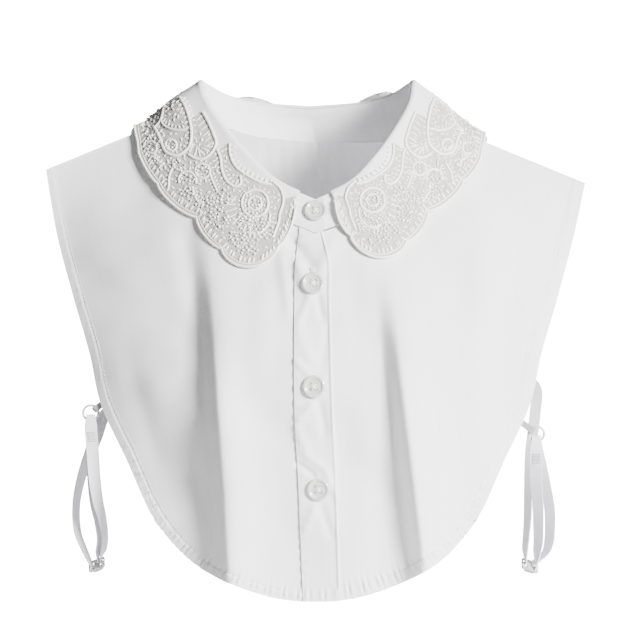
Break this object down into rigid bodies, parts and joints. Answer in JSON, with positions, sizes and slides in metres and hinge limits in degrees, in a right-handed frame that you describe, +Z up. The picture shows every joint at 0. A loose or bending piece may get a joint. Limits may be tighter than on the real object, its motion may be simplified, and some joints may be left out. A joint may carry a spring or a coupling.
{
  "type": "detachable collar",
  "caption": "White false shirt collar with beaded lace leaves, a buttoned bib front, a plain back panel and an elastic strap with ring and slider at each side",
  "frame": {"origin": "between the two sides of the neck, at the height where the collar sits on a neck", "axes": "+Z up, the buttoned front faces -Y, viewer's left is -X"},
  "size_m": [0.368, 0.1734, 0.3552],
  "materials": {
    "cotton": "smooth white cotton poplin",
    "lace": "white corded lace with beads",
    "elastic": "fine ribbed white elastic",
    "pearl_plastic": "pearly translucent plastic",
    "clear_plastic": "clear coated plastic"
  },
  "bodies": {
    "root": {"front_panel_left": "cotton", "front_panel_right": "cotton", "placket": "cotton", "back_panel": "cotton", "collar_stand": "cotton", "collar_fall": "cotton", "lace_left": "lace", "lace_right": "lace", "button_collar": "pearl_plastic", "button_1": "pearl_plastic", "button_2": "pearl_plastic", "button_3": "pearl_plastic", "strap_left": "elastic", "tab_left": "elastic", "ring_left": "clear_plastic", "slider_left": "clear_plastic", "strap_right": "elastic", "tab_right": "elastic", "ring_right": "clear_plastic", "slider_right": "clear_plastic"}
  },
  "joints": []
}
